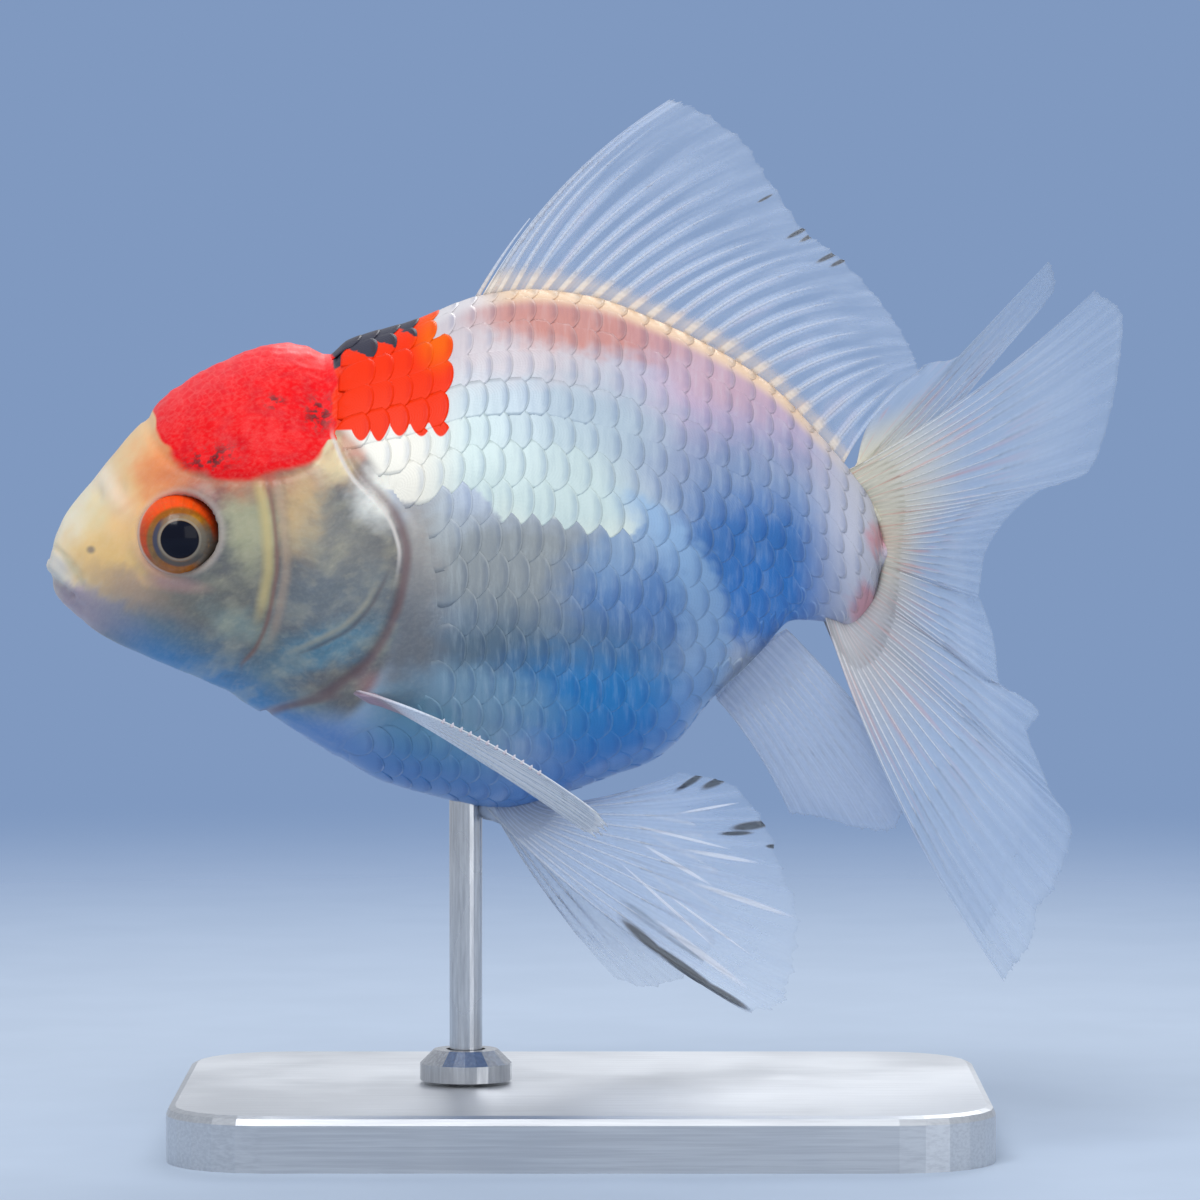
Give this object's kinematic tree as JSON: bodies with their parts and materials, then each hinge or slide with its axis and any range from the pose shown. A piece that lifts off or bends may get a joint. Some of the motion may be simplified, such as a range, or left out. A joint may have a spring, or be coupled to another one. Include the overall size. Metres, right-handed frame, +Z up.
{
  "type": "goldfish model on a display stand",
  "caption": "Life-size still model of a young fancy goldfish with a red cap, a deep body, long see-through fins and a double tail, on a flat base with a rod.",
  "frame": {"origin": "middle of the underside of the stand, at the bottom centre of the whole part", "axes": "+X from the snout to the tail, +Z up, so the left flank faces -Y"},
  "size_m": [0.0972, 0.052, 0.0951],
  "materials": {
    "skin": "wet pearly scales, pale blue-white flanks with a peach face and pink back",
    "cap": "fleshy, finely bumped, bright red",
    "eye": "clear wet gloss over an orange and bronze iris",
    "fin": "thin, see-through, with fine white rays",
    "stand_plate": "satin, fine-grained",
    "stand_steel": "drawn and polished"
  },
  "bodies": {
    "root": {"head": "skin", "lower_jaw": "skin", "head_cap": "cap", "gill_cover_left": "skin", "gill_cover_right": "skin", "eye_left": "eye", "eye_right": "eye", "trunk": "skin", "tail_stem": "skin", "dorsal_fin": "fin", "pectoral_fin_left": "fin", "pectoral_fin_right": "fin", "pelvic_fin_left": "fin", "pelvic_fin_right": "fin", "anal_fin_left": "fin", "anal_fin_right": "fin", "tail_upper_left": "fin", "tail_upper_right": "fin", "tail_lower_left": "fin", "tail_lower_right": "fin", "stand_base": "stand_plate", "stand_rod": "stand_steel", "stand_collar": "stand_steel"}
  },
  "joints": []
}
